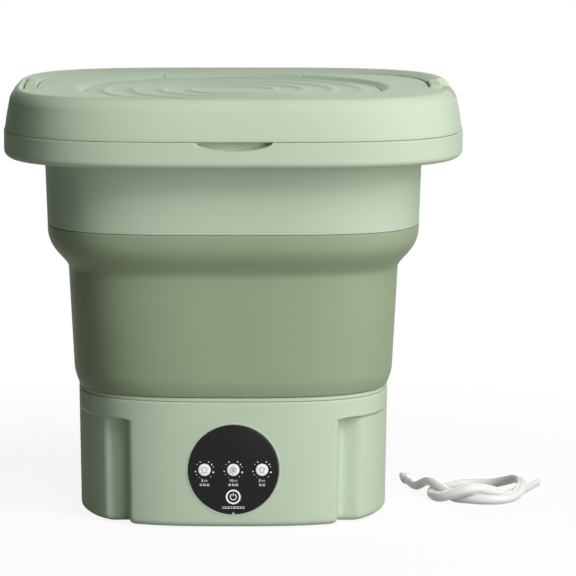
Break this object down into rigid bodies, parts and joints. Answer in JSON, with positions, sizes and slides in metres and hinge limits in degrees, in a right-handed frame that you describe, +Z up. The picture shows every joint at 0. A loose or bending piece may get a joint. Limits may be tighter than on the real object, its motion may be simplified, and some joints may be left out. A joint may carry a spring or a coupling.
{
  "type": "portable mini washer",
  "caption": "Folding portable mini washer: rigid base with drive and controls, soft folding tub wall, collar, lift-off lid with carry handle, and a loose drain hose.",
  "frame": {"origin": "on the floor, below the middle of the tub", "axes": "+Z up, -Y towards the control panel at the front, +X to the right as seen from the front"},
  "size_m": [0.3954, 0.2812, 0.3099],
  "materials": {
    "green_shell": "satin moulded",
    "wall_elastomer": "matt moulded elastomer",
    "panel_gloss": "glossy printed",
    "lamp_white": "glossy",
    "white_plastic": "satin",
    "hose_clear": "milky clear, smooth",
    "dark_rubber": "matt",
    "zinc_steel": "zinc plated",
    "board_green": "solder mask",
    "black_plastic": "moulded"
  },
  "bodies": {
    "base": {"base_housing": "green_shell", "bottom_cover": "green_shell", "rubber_foot_1": "dark_rubber", "rubber_foot_2": "dark_rubber", "rubber_foot_3": "dark_rubber", "rubber_foot_4": "dark_rubber", "cover_screw_1": "zinc_steel", "cover_screw_2": "zinc_steel", "cover_screw_3": "zinc_steel", "cover_screw_4": "zinc_steel", "tub_floor": "green_shell", "folding_wall": "wall_elastomer", "panel_disc": "panel_gloss", "lamp_lens_1": "lamp_white", "lamp_lens_2": "lamp_white", "lamp_lens_3": "lamp_white", "control_board": "board_green", "board_screw_left": "zinc_steel", "board_screw_right": "zinc_steel", "tact_switch": "black_plastic", "motor_housing": "zinc_steel", "motor_bracket": "zinc_steel", "motor_screw_1": "zinc_steel", "motor_screw_2": "zinc_steel", "motor_screw_3": "zinc_steel", "motor_screw_4": "zinc_steel", "shaft_bearing": "zinc_steel", "shaft_seal": "dark_rubber", "drain_spout": "white_plastic", "dc_socket": "black_plastic", "dc_lead": "black_plastic", "motor_lead": "black_plastic", "drain_hose": "hose_clear", "hose_adapter": "hose_clear"},
    "upper": {"upper_band": "green_shell", "tub_collar": "green_shell"},
    "lid": {"lid_shell": "green_shell", "lid_liner": "green_shell", "lid_seal": "dark_rubber", "handle_pin_left": "zinc_steel", "handle_pin_right": "zinc_steel"},
    "handle": {"carry_handle": "green_shell"},
    "rotor": {"drive_shaft": "zinc_steel", "pulsator": "green_shell", "pulsator_cap": "green_shell", "spin_basket": "white_plastic"},
    "button": {"power_button": "panel_gloss", "switch_plunger": "white_plastic"},
    "drain_plug": {"drain_cap": "dark_rubber"}
  },
  "joints": [
    {"name": "tub_collapse", "type": "slide", "parent": "base", "child": "upper", "axis": [0, 0, -1], "range_m": [0, 0.112], "deforming": ["folding_wall"]},
    {"name": "lid_lift", "type": "slide", "parent": "upper", "child": "lid", "axis": [0, 0, 1], "range_m": [0, 0.12]},
    {"name": "handle_swing", "type": "hinge", "parent": "lid", "child": "handle", "pos_m": [0, 0, 0.3044], "axis": [1, 0, 0], "range_deg": [0, 95]},
    {"name": "pulsator_spin", "type": "hinge", "parent": "base", "child": "rotor", "pos_m": [0, 0, 0.1], "axis": [0, 0, 1], "continuous": true},
    {"name": "power_press", "type": "slide", "parent": "base", "child": "button", "axis": [0, 1, 0], "range_m": [0, 0.0005], "stiffness_N_per_m": 600},
    {"name": "drain_cap_pull", "type": "slide", "parent": "base", "child": "drain_plug", "axis": [0, 1, 0], "range_m": [0, 0.03]}
  ]
}
